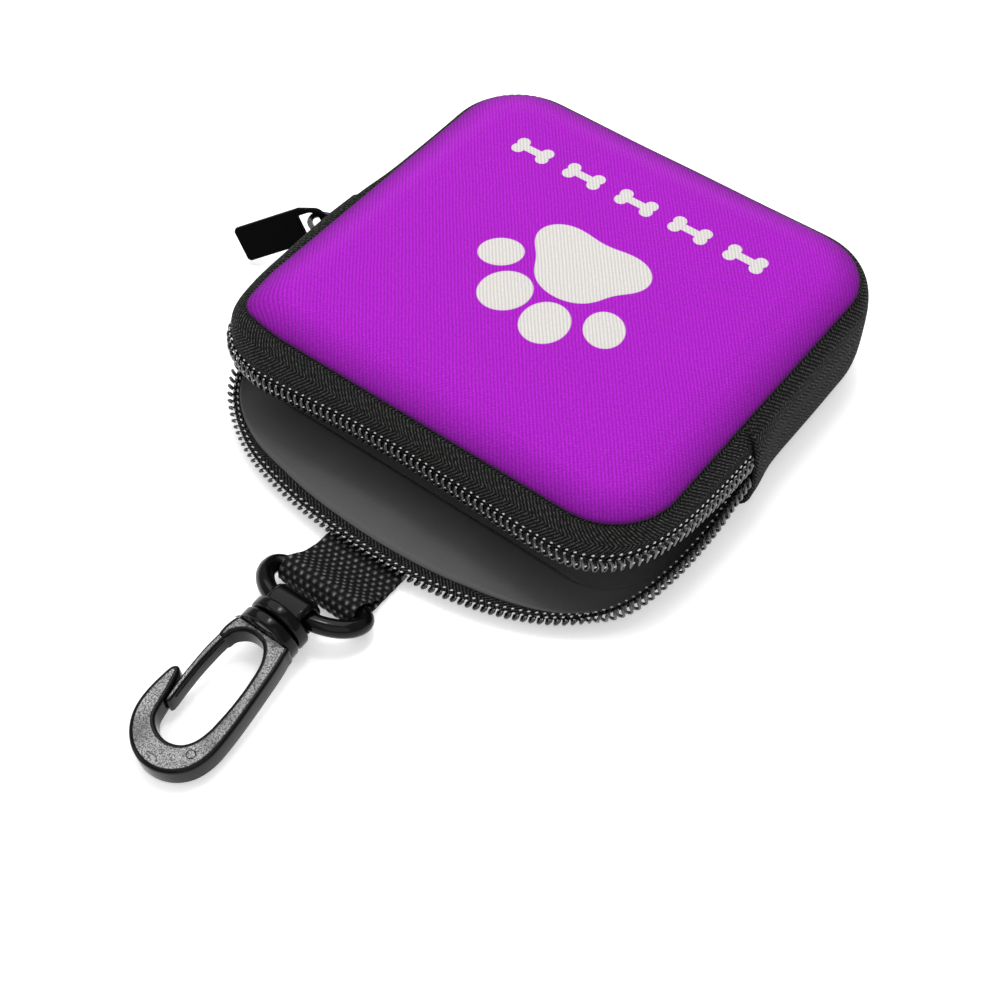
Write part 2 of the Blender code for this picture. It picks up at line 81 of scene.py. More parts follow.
# The two rows of the open zip, each from its left end round the mouth to its right end.
UPPER = [
    (-51.5, -3.9, 15.4), (-51.5, -13.0, 16.2), (-51.0, -26.0, 16.0), (-50.5, -35.9, 15.6),
    (-49.3, -42.2, 15.5), (-47.0, -45.3, 15.5), (-43.8, -47.6, 15.6), (-37.0, -49.5, 15.8),
    (-29.4, -49.5, 16.2), (-21.1, -48.9, 16.5), (-14.2, -48.3, 16.5), (-4.9, -47.9, 16.5),
    (6.0, -47.9, 16.5), (18.0, -48.2, 16.5), (30.0, -48.6, 16.6), (38.2, -47.9, 16.9),
    (43.6, -45.3, 17.2), (47.6, -40.2, 17.3), (49.8, -32.2, 17.1), (50.6, -23.0, 16.7),
    (50.8, -14.0, 16.2), (50.8, -3.9, 15.6),
]
LOWER = [
    (-51.5, -3.9, 12.8), (-51.4, -13.0, 11.8), (-50.7, -26.0, 11.2), (-50.1, -36.0, 9.6),
    (-48.2, -45.6, 6.6), (-43.1, -52.4, 4.8), (-33.7, -58.1, 4.1), (-22.0, -61.2, 3.9),
    (-9.0, -62.6, 3.9), (6.0, -62.6, 3.9), (20.0, -60.8, 3.9), (32.0, -57.0, 4.1),
    (41.0, -51.5, 4.6), (47.3, -43.5, 5.6), (50.3, -33.0, 7.4), (51.4, -22.0, 9.6),
    (51.2, -13.0, 11.6), (50.8, -3.9, 13.0),
]

# The camera looks at a point from a direction and a distance, in degrees and metres.
VIEW_AZIMUTH, VIEW_ELEVATION, VIEW_DISTANCE = 37.65, 52.16, 0.31078
VIEW_TARGET, LENS, SENSOR = (0.023415, -0.050234, 0.025), 62.18, 36.0
FLOOR_Z, FLOOR_SIDE = -0.00005, 6.0
LAMPS = (  # name, place, what it points at, side and power
    ("key", (-0.30, 0.24, 0.85), (0.0, -0.03, 0.0), 1.00, 5.8),
    ("fill", (0.55, -0.45, 0.7), (0.0, -0.03, 0.0), 0.9, 1.9),
    ("glint", (-0.05, 0.10, 0.80), (-0.02, -0.07, 0.0), 0.12, 1.1),
    ("rim", (-0.5, -0.55, 0.45), (0.0, -0.05, 0.0), 0.25, 0.7),
)


# ---------------------------------------------------------------- camera, floor, light
def look(obj, target):
    obj.rotation_euler = (Vector(target) - obj.location).to_track_quat("-Z", "Y").to_euler()


def set_up_camera(scene):
    azimuth, elevation = math.radians(VIEW_AZIMUTH), math.radians(VIEW_ELEVATION)
    level = math.cos(elevation)
    back = Vector((math.sin(azimuth) * level, -math.cos(azimuth) * level, math.sin(elevation)))
    cam = bpy.data.objects.new("camera", bpy.data.cameras.new("camera"))
    scene.collection.objects.link(cam)
    target = Vector(VIEW_TARGET)
    cam.location = target + back * VIEW_DISTANCE
    look(cam, target)
    cam.data.lens = LENS
    cam.data.sensor_width = SENSOR
    cam.data.clip_start = 0.01
    scene.camera = cam


def set_up_floor():
    """A white floor that gives off some light of its own, which weakens the shadows on it."""
    bpy.ops.mesh.primitive_plane_add(size=FLOOR_SIDE, location=(0, 0, FLOOR_Z))
    floor = bpy.context.active_object
    floor.name = "floor"
    net = Net("floor_white")
    net.put("Base Color", (0.97, 0.97, 0.97, 1))
    net.put("Roughness", 0.9)
    net.put("Specular IOR Level", 0.1)
    net.put("Emission Color", (1, 1, 1, 1))
    net.put("Emission Strength", 0.40)
    floor.data.materials.append(net.mat)


def set_up_lights(scene):
    world = bpy.data.worlds.new("studio")
    scene.world = world
    world.use_nodes = True
    background = world.node_tree.nodes["Background"]
    background.inputs["Color"].default_value = (1, 1, 1, 1)
    background.inputs["Strength"].default_value = 0.40
    for name, place, aim, side, power in LAMPS:
        lamp = bpy.data.lights.new(name, "AREA")
        lamp.size = side
        lamp.energy = power
        obj = bpy.data.objects.new(name, lamp)
        scene.collection.objects.link(obj)
        obj.location = place
        look(obj, aim)


def set_up_stage():
    scene = bpy.context.scene
    scene.view_settings.view_transform = "Standard"
    set_up_camera(scene)
    set_up_floor()
    set_up_lights(scene)


# ---------------------------------------------------------------- materials
class Net:
    """One Principled material and short calls for its nodes."""

    def __init__(self, name, rough=None, metal=0.0):
        self.mat = bpy.data.materials.new(name)
        self.mat.use_nodes = True
        self.tree = self.mat.node_tree
        self.shader = self.tree.nodes["Principled BSDF"]
        if rough is not None:
            self.put("Roughness", rough)
        self.put("Metallic", metal)

    def put(self, socket, value):
        self.join(value, self.shader.inputs[socket])

    def join(self, value, socket):
        if isinstance(value, bpy.types.NodeSocket):
            self.tree.links.new(value, socket)
        else:
            socket.default_value = value

    def node(self, kind, *values, out=0, **settings):
        made = self.tree.nodes.new(kind)
        for key, value in settings.items():
            setattr(made, key, value)
        for i, value in enumerate(values):
            self.join(value, made.inputs[i])
        return made.outputs[out]

    def math(self, operation, *values):
        return self.node("ShaderNodeMath", *values, operation=operation)

    def uv(self):
        split = self.tree.nodes.new("ShaderNodeSeparateXYZ")
        self.tree.links.new(self.tree.nodes.new("ShaderNodeUVMap").outputs[0], split.inputs[0])
        return split.outputs[0], split.outputs[1]

    def spot(self, u, v):
        return self.node("ShaderNodeCombineXYZ", u, v)

    def place(self):
        """Object coordinates, in metres."""
        return self.node("ShaderNodeTexCoord", out=3)

    def noise(self, vector, scale, detail=2.0, rough=0.5):
        made = self.tree.nodes.new("ShaderNodeTexNoise")
        self.join(vector, made.inputs["Vector"])
        made.inputs["Scale"].default_value = scale
        made.inputs["Detail"].default_value = detail
        made.inputs["Roughness"].default_value = rough
        return made.outputs[0]

    def ramp(self, value, low, high, a=0.0, b=1.0):
        return self.node("ShaderNodeMapRange", value, low, high, a, b)

    def mix(self, factor, a, b):
        made = self.tree.nodes.new("ShaderNodeMix")
        made.data_type = "RGBA"
        self.join(factor, made.inputs[0])
        self.join(a if isinstance(a, bpy.types.NodeSocket) else (*a, 1), made.inputs[6])
        self.join(b if isinstance(b, bpy.types.NodeSocket) else (*b, 1), made.inputs[7])
        return made.outputs[2]

    def bump(self, height, strength, distance):
        made = self.tree.nodes.new("ShaderNodeBump")
        made.inputs["Strength"].default_value = strength
        made.inputs["Distance"].default_value = distance
        self.join(height, made.inputs["Height"])
        self.put("Normal", made.outputs[0])

    def wave(self, value, period, phase=0.0):
        """0 to 1 and back once a period."""
        turns = self.math("MULTIPLY_ADD", value, 2 * math.pi / period, phase)
        return self.math("MULTIPLY_ADD", self.math("SINE", turns), 0.5, 0.5)

    def zigzag(self, value, period):
        return self.math("MULTIPLY", self.math("PINGPONG", value, period / 2), 2 / period)

    def turn(self, x, y, angle):
        """The place (x, y) in axes turned by an angle."""
        c, s = math.cos(angle), math.sin(angle)
        along = self.math("ADD", self.math("MULTIPLY", x, c), self.math("MULTIPLY", y, s))
        across = self.math("SUBTRACT", self.math("MULTIPLY", y, c), self.math("MULTIPLY", x, s))
        return along, across

    def squares(self, x, y):
        """x squared and y squared, added."""
        return self.math("ADD", self.math("MULTIPLY", x, x), self.math("MULTIPLY", y, y))


def blob(net, u, v, cx, cy, rx, ry, angle=0.0):
    """Squared distance from an ellipse's centre: 1 on its edge."""
    dx, dy = net.math("SUBTRACT", u, cx), net.math("SUBTRACT", v, cy)
    along, across = net.turn(dx, dy, angle)
    return net.squares(net.math("DIVIDE", along, rx), net.math("DIVIDE", across, ry))


def bone(net, u, v, cx, cy):
    """A bar with a knob at each corner, soft-edged."""
    bar_u = net.math("ABSOLUTE", net.math("SUBTRACT", u, cx))
    bar_v = net.math("ABSOLUTE", net.math("SUBTRACT", v, cy))
    bar = net.math("MAXIMUM", net.math("DIVIDE", bar_u, 3.0), net.math("DIVIDE", bar_v, 0.95))
    knob = net.squares(net.math("SUBTRACT", bar_u, 3.1), net.math("SUBTRACT", bar_v, 1.05))
    return net.math("MAXIMUM", net.ramp(bar, 1.06, 0.94), net.ramp(knob, 2.15, 1.85))


def printed_marks(net, u, v):
    """1 inside the paw and the row of bones, 0 outside."""
    marks = [net.ramp(blob(net, u, v, *toe), 1.04, 0.96) for toe in TOES]
    pad = 0.0
    for *lump, weight in PAD_LUMPS:
        falling = net.math("EXPONENT", net.math("MULTIPLY", blob(net, u, v, *lump), -1.6))
        pad = net.math("MULTIPLY_ADD", falling, weight, pad)
    marks.append(net.ramp(pad, 0.325, 0.345))
    marks += [bone(net, u, v, BONE_X + BONE_STEP * k, BONE_Y) for k in range(BONES)]
    printed = marks[0]
    for mark in marks[1:]:
        printed = net.math("MAXIMUM", printed, mark)
    return printed


def depth_from_seam(net, u, v):
    """Millimetres in from the panel's rounded edge."""
    qx = net.math("SUBTRACT", net.math("ABSOLUTE", u), PANEL_W / 2 - PANEL_R)
    qy = net.math("SUBTRACT", net.math("ABSOLUTE", v), PANEL_D / 2 - PANEL_R)
    reach = net.math("SQRT", net.squares(net.math("MAXIMUM", qx, 0.0), net.math("MAXIMUM", qy, 0.0)))
    core = net.math("MINIMUM", net.math("MAXIMUM", qx, qy), 0.0)
    return net.math("SUBTRACT", net.math("SUBTRACT", PANEL_R, reach), core)


def knit_material():
    """Fine purple knit with an off-white printed paw and a row of bones. UV is millimetres on the panel."""
    net = Net("knit_purple", rough=0.78)
    u, v = net.uv()
    spot = net.spot(u, v)
    along, across = net.turn(u, v, KNIT_TURN)
    across = net.math("MULTIPLY_ADD", net.noise(spot, 0.09, 2), 0.5, across)
    lean = net.zigzag(across, WALE)
    course = net.wave(net.math("MULTIPLY_ADD", lean, 0.22, along), COURSE)
    cell = net.math("MULTIPLY", net.wave(across, WALE), net.math("MULTIPLY_ADD", course, 0.6, 0.4))
    stitch = net.noise(spot, 1.35, 2, 0.7)
    cell = net.math("MULTIPLY", cell, net.ramp(stitch, 0.3, 0.7, 0.45, 1.15))
    height = net.math("ADD", cell, net.math("MULTIPLY", stitch, 0.3))

    cloud = net.noise(spot, 0.05, 3)
    # Painted shade: the purple and the print are darker in the knit's grooves, low on the relief that also
    # drives the bump.
    dark = net.mix(cloud, (0.270, 0.0082, 0.380), (0.294, 0.0090, 0.408))
    light = net.mix(cloud, (0.522, 0.0175, 0.715), (0.558, 0.0195, 0.755))
    fuzz = net.ramp(net.noise(spot, 2.4, 2, 0.7), 0.50, 0.72, 0.0, 0.17)
    purple = net.mix(fuzz, net.mix(net.math("POWER", cell, 0.75), dark, light), (0.60, 0.14, 0.74))
    white = net.mix(net.math("POWER", cell, 0.6), (0.55, 0.525, 0.505), (0.83, 0.80, 0.775))
    face = net.mix(printed_marks(net, u, v), purple, white)
    # Painted shade: the knit is darkened towards its seam, where its crown rolls away from the light.
    lit = net.math("POWER", net.ramp(depth_from_seam(net, u, v), 0.0, SEAM_PAINTED_SHADE), 0.58)
    net.put("Base Color", net.mix(lit, net.mix(0.62, face, (0.0, 0.0, 0.0)), face))
    net.put("Sheen Weight", 0.04)
    net.put("Sheen Roughness", 0.4)
    net.put("Specular IOR Level", 0.06)
    net.bump(height, 0.5, 0.00014)
    return net.mat


def twill_material(name, rib, column, grey, tone):
    """Black herringbone: slanting ribs that turn back in every column. UV is millimetres along and across."""
    net = Net(name)
    u, v = net.uv()
    spot = net.spot(u, v)
    lean = net.math("PINGPONG", net.math("ADD", v, 40.0), column / 2)
    skew = net.math("MULTIPLY_ADD", net.noise(spot, 0.5, 2), 0.5, net.math("ADD", u, lean))
    ribs = net.math("POWER", net.wave(skew, rib), 1.6)
    cross = net.wave(net.math("SUBTRACT", v, net.math("MULTIPLY", u, 0.35)), 0.52)
    thread = net.math("MULTIPLY", ribs, net.math("MULTIPLY_ADD", cross, 0.7, 0.3))
    fleck = net.noise(spot, 1.5, 3, 0.75)
    # Painted highlight: the grey of the raised threads stands for light caught on the black yarn.
    lit = net.math("MULTIPLY", thread, net.math("POWER", net.ramp(fleck, 0.36, 0.66, 0.22, 1.0), 1.4))
    net.put("Base Color", net.mix(lit, (tone, tone, tone), (grey, grey, grey * 0.97)))
    net.put("Specular IOR Level", 0.1)
    net.put("Roughness", net.ramp(lit, 0.0, 1.0, 0.87, 0.44))
    net.bump(net.math("ADD", thread, net.math("MULTIPLY", fleck, 0.3)), 0.9, 0.00028)
    return net.mat


def lining_material():
    """Smooth coated lining with a faint plain weave."""
    net = Net("lining_grey")
    u, v = net.uv()
    weave = net.math("MULTIPLY", net.wave(u, 0.42), net.wave(v, 0.42))
    cloud = net.noise(net.spot(u, v), 0.12, 3)
    net.put("Base Color", net.mix(cloud, (0.075, 0.075, 0.077), (0.096, 0.096, 0.099)))
    net.put("Roughness", net.ramp(cloud, 0.2, 0.8, 0.5, 0.62))
    net.put("Specular IOR Level", 0.25)
    net.put("Sheen Weight", 0.1)
    net.bump(net.math("ADD", net.math("MULTIPLY", weave, 0.5), cloud), 0.3, 0.0001)
    return net.mat


def gloss_material(name, tone, rough, spec, coat=0.0, metal=0.0):
    """Smooth black plastic, thread or painted metal, with a faint smear. Noise scales are per metre."""
    net = Net(name, metal=metal)
    spot = net.place()
    smear = net.noise(spot, 900, 3)
    net.put("Base Color", net.mix(smear, (tone,) * 3, (tone * 1.7,) * 3))
    net.put("Roughness", net.ramp(smear, 0.3, 0.7, rough, rough + 0.08))
    net.bump(net.noise(spot, 260, 2), 0.12, 0.0003)
    net.put("Specular IOR Level", spec)
    if coat:
        net.put("Coat Weight", coat)
        net.put("Coat Roughness", 0.08)
    return net.mat


def grain_material(name, tone, rough):
    """Black plastic from a spark-eroded mould, its grain in the bump; light flecks in its colour are painted
    glints of that grain, thinner in some patches.
    """
    net = Net(name)
    spot = net.place()
    rocky = net.noise(spot, 3700, 3, 0.65)
    patch = net.ramp(net.noise(spot, 130, 1), 0.38, 0.58, 0.40, 1.0)
    # Painted glints: light flecks in the colour of the grained black face.
    painted_glint = net.math("MULTIPLY", net.ramp(rocky, 0.42, 0.60), patch)
    net.put("Base Color", net.mix(painted_glint, (tone * 0.3,) * 3, (tone * 12.5,) * 3))
    net.put("Roughness", net.ramp(rocky, 0.35, 0.65, rough + 0.28, rough))
    net.bump(net.math("MULTIPLY_ADD", net.noise(spot, 900, 2), 0.5, rocky), 1.0, 0.0002)
    net.put("Specular IOR Level", 1.0)
    return net.mat


def webbing_material():
    """Black plain weave: each float of the weft shows as a lit dash. UV is millimetres across and along."""
    net = Net("webbing_black")
    u, v = net.uv()
    row = net.math("FLOOR", net.math("DIVIDE", v, WEAVE_V))
    shift = net.math("MULTIPLY", net.math("MODULO", row, 2.0), WEAVE_U / 2)
    weft = net.wave(net.math("ADD", u, shift), WEAVE_U)
    dash = net.math("MULTIPLY", weft, net.wave(v, WEAVE_V, -math.pi / 2))
    yarn = net.wave(net.math("ADD", v, net.math("MULTIPLY", u, 0.4)), 0.24)
    fleck = net.noise(net.spot(u, v), 1.2, 3, 0.7)
    lit = net.math("MULTIPLY", net.math("POWER", dash, 1.8), net.ramp(fleck, 0.3, 0.65, 0.25, 1.0))
    net.put("Base Color", net.mix(lit, (0.002,) * 3, (0.30, 0.30, 0.29)))
    net.put("Roughness", net.ramp(lit, 0.0, 1.0, 0.7, 0.4))
    net.put("Specular IOR Level", 0.15)
    net.bump(net.math("MULTIPLY_ADD", yarn, 0.3, dash), 0.5, 0.00015)
    return net.mat


# ---------------------------------------------------------------- geometry helpers
def link(mesh_or_curve, name):
    made = bpy.data.objects.new(name, mesh_or_curve)
    bpy.context.scene.collection.objects.link(made)
    return made


def make(name, points, faces, mat, uvs=None):
    """A smooth mesh from points in millimetres and, where they are given, a UV pair for each."""
    mesh = bpy.data.meshes.new(name)
    mesh.from_pydata([Vector(p) * MM for p in points], [], faces)
    mesh.update()
    if uvs:
        layer = mesh.uv_layers.new(name="UVMap")
        flat = [0.0] * (2 * len(mesh.loops))
        for i, loop in enumerate(mesh.loops):
            flat[2 * i], flat[2 * i + 1] = uvs[loop.vertex_index]
        layer.data.foreach_set("uv", flat)
    if mat:
        mesh.materials.append(mat)
    mesh.shade_smooth()
    return link(mesh, name)


def settle(obj):
    """Applies every modifier, or turns a curve into a mesh."""
    bpy.context.view_layer.update()
    graph = bpy.context.evaluated_depsgraph_get()
    mesh = bpy.data.meshes.new_from_object(obj.evaluated_get(graph), depsgraph=graph)
    mesh.transform(obj.matrix_world)
    name, mats = obj.name, list(obj.data.materials)
    bpy.data.objects.remove(obj, do_unlink=True)
    mesh.name = name
    if not mesh.materials:
        for mat in mats:
            mesh.materials.append(mat)
    mesh.shade_smooth()
    return link(mesh, name)


def thicken(obj, thickness, rim=0.0):
    wall = obj.modifiers.new("wall", "SOLIDIFY")
    wall.thickness = thickness * MM
    wall.offset = 0.0
    wall.use_even_offset = True
    if rim:
        soft = obj.modifiers.new("rim", "BEVEL")
        soft.width = rim * MM
        soft.segments = 2
        soft.angle_limit = math.radians(50)
    return obj


def span_between(a, b, c, d, steps):
    """Points of a Catmull-Rom spline from b up to, but not at, c."""
    return [
        0.5 * (2 * b + (c - a) * t + (2 * a - 5 * b + 4 * c - d) * t ** 2 + (3 * b - a - 3 * c + d) * t ** 3)
        for t in (k / steps for k in range(steps))
    ]


def spline_points(controls, count):
    """Evenly spaced points on an open smooth line through the controls."""
    pts = [Vector(c) for c in controls]
    pts = [pts[0] * 2 - pts[1]] + pts + [pts[-1] * 2 - pts[-2]]
    dense = []
    for i in range(1, len(pts) - 2):
        dense += span_between(*pts[i - 1: i + 3], 24)
    dense.append(pts[-2])
    return even(dense, count)


def even(dense, count):
    """Points at equal distances along a line of close points."""
    lengths = [0.0]
    for a, b in zip(dense, dense[1:]):
        lengths.append(lengths[-1] + (b - a).length)
    out, j = [], 0
    for i in range(count):
        want = lengths[-1] * i / (count - 1)
        while j < len(dense) - 2 and lengths[j + 1] < want:
            j += 1
        span = lengths[j + 1] - lengths[j]
        out.append(dense[j].lerp(dense[j + 1], min(1.0, (want - lengths[j]) / span)))
    return out


def length_of(path):
    return sum((b - a).length for a, b in zip(path, path[1:]))


def direction_at(path, i):
    return (path[min(len(path) - 1, i + 1)] - path[max(0, i - 1)]).normalized()


def edge_of_panel(point):
    """The nearest place on the panel's rounded edge, and the way out from it."""
    cx, cy = PANEL_W / 2 - PANEL_R, PANEL_D / 2 - PANEL_R
    x, y = point[0], point[1]
    core = Vector((max(-cx, min(cx, x)), max(-cy, min(cy, y))))
    out = Vector((x, y)) - core
    if out.length < 1e-6:
        out = Vector((math.copysign(1.0, x), 0.0))
    out.normalize()
    return core + out * PANEL_R, out


def inset(x, y):
    """How far a place is in from the panel's edge."""
    qx, qy = abs(x) - (PANEL_W / 2 - PANEL_R), abs(y) - (PANEL_D / 2 - PANEL_R)
    return PANEL_R - math.hypot(max(qx, 0), max(qy, 0)) - min(max(qx, qy), 0)


def top_of_panel(x, y):
    d = max(0.0, min(1.0, inset(x, y) / 10.5))
    dome = (1 - (x / PANEL_W * 2) ** 2) * (1 - (y / PANEL_D * 2) ** 2)
    return SEAM_Z + CROWN * (1 - (1 - d) ** 2) + DOME * max(0.0, dome)


def ease_corner(point, weight=1.0):
    """The front left corner is fuller than the others."""
    away = (Vector(point[:2]) - CORNER).length / CORNER_REACH
    push = -CORNER_OUT * weight * math.exp(-away * away) / math.sqrt(2)
    return Vector((point[0] + push, point[1] + push, point[2]))


def half_width(y, margin):
    """Half the panel's width at y, for an outline `margin` inside its edge."""
    w, d, r = PANEL_W / 2 - margin, PANEL_D / 2 - margin, PANEL_R - margin
    over = max(0.0, abs(y) - (d - r))
    return w - r + math.sqrt(max(0.0, r * r - over * over))


def grid_faces(rows, cols):
    return [(i * cols + j, i * cols + j + 1, (i + 1) * cols + j + 1, (i + 1) * cols + j)
            for i in range(rows - 1) for j in range(cols - 1)]


def bow(a, c, b, count):
    """A quadratic curve from a to b, drawn towards c."""
    return [a * (1 - t) ** 2 + c * 2 * t * (1 - t) + b * t * t
            for t in (i / (count - 1) for i in range(count))]


def panel_grid(rows, cols, margin, height):
    """Rows of points over the panel's outline, closer together near its edge."""
    low = -PANEL_D / 2 + margin
    points = []
    for i in range(rows):
        t = 2 * i / (rows - 1) - 1
        y = -low * (0.55 * math.sin(t * math.pi / 2) + 0.45 * t)
        w = half_width(y, margin)
        for j in range(cols):
            s = 2 * j / (cols - 1) - 1
            x = w * (0.55 * math.sin(s * math.pi / 2) + 0.45 * s)
            points.append(Vector((x, y, height(x, y))))
    return points


def border(rows, cols):
    """Vertex numbers round the edge of a grid, anticlockwise."""
    ring = list(range(cols))
    ring += [i * cols + cols - 1 for i in range(1, rows)]
    ring += [(rows - 1) * cols + j for j in range(cols - 2, -1, -1)]
    ring += [i * cols for i in range(rows - 2, 0, -1)]
    return ring


def skirt(upper, lower):
    """Faces between two rings of as many vertices."""
    n = len(upper)
    return [(upper[i], lower[i], lower[(i + 1) % n], upper[(i + 1) % n]) for i in range(n)]


def underneath(rows, cols, base):
    """The faces of a grid whose vertices start at `base`, facing down."""
    return [tuple(base + k for k in reversed(face)) for face in grid_faces(rows, cols)]


def swell_of_pad(rows, cols, most):
    """Lets a coarse copy of the pad, ten times life size, settle as cloth under pressure with its seam held.

    Gives how far each point of its top face moved, in millimetres, and no more than `most`."""
    still = Vector((0.0, 0.0, 0.0))
    enlarged, frames_run = 10, 20
    top = panel_grid(rows, cols, 0.0, top_of_panel)
    under = panel_grid(rows, cols, 0.6, lambda x, y: SEAM_Z - 2.0)
    base, ring = len(top), border(rows, cols)
    faces = grid_faces(rows, cols) + underneath(rows, cols, base) + skirt(ring, [base + k for k in ring])
    obj = make("pad_cloth", [p * enlarged for p in top + under], faces, None)
    held = obj.vertex_groups.new(name="sewn")
    held.add(ring + list(range(base, 2 * base)), 1.0, "REPLACE")
    cloth = obj.modifiers.new("cloth", "CLOTH")
    cloth.settings.vertex_group_mass = held.name
    cloth.settings.use_pressure = True
    cloth.settings.uniform_pressure_force = 16.0
    cloth.settings.effector_weights.gravity = 0.0
    cloth.settings.quality = 4
    cloth.point_cache.frame_end = frames_run
    scene = bpy.context.scene
    for frame_number in range(1, frames_run + 1):
        scene.frame_set(frame_number)
    graph = bpy.context.evaluated_depsgraph_get()
    mesh = obj.evaluated_get(graph).data
    moved = []
    for k in range(base):
        step = mesh.vertices[k].co / (enlarged * MM) - top[k]
        moved.append(step * min(1.0, most / step.length) if step.length > 1e-9 else still)
    bpy.data.objects.remove(obj, do_unlink=True)
    scene.frame_set(1)
    return moved


def front_panel(mat):
    """One closed, crowned pad: a top face, an edge that rolls under, and an underside that follows the top."""
    rows, cols = 89, 95
    few_rows, few_cols = 45, 48
    top = panel_grid(rows, cols, 0.0, top_of_panel)
    moved = swell_of_pad(few_rows, few_cols, SWELL_MOST)
    for i in range(rows):
        fi = min(few_rows - 1.001, i * (few_rows - 1) / (rows - 1))
        for j in range(cols):
            fj = min(few_cols - 1.001, j * (few_cols - 1) / (cols - 1))
            a, b = int(fi), int(fj)
            near = moved[a * few_cols + b].lerp(moved[a * few_cols + b + 1], fj - b)
            far = moved[(a + 1) * few_cols + b].lerp(moved[(a + 1) * few_cols + b + 1], fj - b)
            top[i * cols + j] = top[i * cols + j] + near.lerp(far, fi - a)
    points, faces = list(top), grid_faces(rows, cols)
    ring = border(rows, cols)
    last = ring
    # The edge rolls out, down and back under.
    for out_by, down in ((0.28, 0.30), (0.30, 0.75), (-0.05, 1.15), (-0.9, 1.4)):
        now = []
        for k in ring:
            edge, out = edge_of_panel(top[k])
            now.append(len(points))
            points.append(Vector((*(edge + out * out_by), top[k].z - down)))
        faces += skirt(last, now)
        last = now
    base = len(points)
    points += panel_grid(
        rows, cols, 0.9, lambda x, y: top_of_panel(x, y) - 3.0 + 1.6 * max(0.0, 1 - inset(x, y) / 3.0)
    )
    faces += underneath(rows, cols, base) + skirt(last, [base + k for k in ring])
    uvs = [(p.x, p.y) for p in points]
    return make("front_panel", [ease_corner(p) for p in points], faces, mat, uvs)


def strip(name, mat, sections, thickness, rim=0.0):
    """A cloth strip through rows of points. UV is millimetres along and across."""
    cols = len(sections[0])
    mid = cols // 2
    points, uvs, u = [], [], 0.0
    for i, row in enumerate(sections):
        if i:
            u += (row[mid] - sections[i - 1][mid]).length
        v = 0.0
        for j, p in enumerate(row):
            if j:
                v += (p - row[j - 1]).length
            points.append(p)
            uvs.append((u, v))
    obj = make(name, points, grid_faces(len(sections), cols), mat, uvs)
    return settle(thicken(obj, thickness, rim))


def cubic(a, b, c, d, count):
    """A cubic curve from a to d, drawn towards b and c."""
    return [a * (1 - t) ** 3 + b * 3 * t * (1 - t) ** 2 + c * 3 * t * t * (1 - t) + d * t ** 3
            for t in (i / (count - 1) for i in range(count))]


def upper_rows(path, count):
    """From the seam the tape rolls over a full shoulder, then drops to the coil."""
    rows = []
    for p in path:
        edge, out = edge_of_panel(p)
        seam = Vector((*(edge + out * SEAM_TOP[0]), SEAM_TOP[1] + 0.5))
        side = Vector((*out, 0.0))
        tip = p + Vector((0, 0, 0.25)) - side * 0.05
        reach = (tip - seam).dot(side)
        full = max(0.0, -out.x)
        over = seam + side * (reach * (0.75 + 0.30 * full)) + Vector((0, 0, 0.35 + 0.65 * full))
        drop = tip + side * (0.9 + 0.7 * full) + Vector((0, 0, 4.6 + 1.2 * full))
        row = cubic(seam, over, drop, tip, count)
        rows.append([ease_corner(q, (1 - i / (count - 1)) ** 2) for i, q in enumerate(row)])
    return rows


def lower_rows(path, count, lift=0.0, bare=0.0):
    """Seam to coil. `bare` millimetres of the tape stay uncovered at the coil's side."""
    tuck, steps = 0.3, 24
    rows = []
    for p in path:
        edge, out = edge_of_panel(p)
        seam = Vector((*(edge + out * SEAM_LOW[0]), SEAM_LOW[1]))
        side = Vector((*out, 0.0))
        reach = (p - seam).dot(side)
        flat = max(0.0, min(1.0, (reach - 5.0) / 12.0))
        back = (Vector((0, 0, -1.0)) * (1 - flat) - side * flat).normalized()
        tip = p + back * tuck
        mid = seam + side * (reach * (1 - 0.72 * flat) + 0.8 * (1 - flat)) + Vector((0, 0, 0.9 + 0.6 * flat))
        curve = bow(seam, mid, tip, steps + 1)
        row = []
        end = 1 - bare / length_of(curve)
        for i in range(count):
            at = end * i / (count - 1) * steps
            k = min(steps - 1, int(at))
            here = curve[k].lerp(curve[k + 1], at - k)
            ahead = (curve[min(steps, k + 2)] - curve[max(0, k - 1)]).normalized()
            inward = Vector((-ahead.z * side.x, -ahead.z * side.y, ahead.dot(side)))
            row.append(here + inward * lift)
        rows.append(row)
    return rows


def coil_frames(path, rows, outward):
    """At each point of a row of teeth: place, run, inward along the tape, and off its face."""
    frames = []
    for i, p in enumerate(path):
        t = direction_at(path, i)
        a = (rows[i][-3] - rows[i][-1]).normalized()
        a = (a - t * a.dot(t)).normalized()
        b = t.cross(a).normalized()
        if b.dot(outward(p)) < 0:
            b = -b
        frames.append((p, t, a, b))
    return frames


def at_frame(frames, f):
    i = min(len(frames) - 2, int(f))
    return [frames[i][m].lerp(frames[i + 1][m], f - i) for m in range(4)]


def coil(name, mat, frames, total, heel=2.3, head=1.0, rise=0.55, wire=0.34):
    """A real coil: one monofilament wound flat along the tape's edge, with a flat head on each turn."""
    turns = int(total / PITCH)
    steps = 16
    n = len(frames) - 1
    points = []
    for k in range(turns * steps + 1):
        f = k / (turns * steps) * n
        p, t, a, b = at_frame(frames, f)
        phi = 2 * math.pi * k / steps
        c, q = math.cos(phi), math.sin(phi)
        across = (heel + head) / 2 * math.copysign(abs(c) ** 0.7, c) + (heel - head) / 2
        back = t * (0.22 * math.sin(2 * phi))
        points.append(p + a * across + b * (rise * math.copysign(abs(q) ** 0.8, q) + rise + wire) + back)
    return tube(name, mat, points, wire, 2)


def stitch_rows(name, mat, frames, total, places, size):
    """Sewing thread over the coil: for each (across, off, phase) one short stitch in every turn."""
    turns = int(total / PITCH)
    n = len(frames) - 1
    spots = []
    for across, off, phase in places:
        for k in range(turns):
            f = (k + phase) / turns * n
            if f > n - 0.5:
                continue
            p, t, a, b = at_frame(frames, f)
            spots.append((p + a * across + b * off, (t + a * 0.5).normalized(), b))
    return beads(name, mat, spots, size)


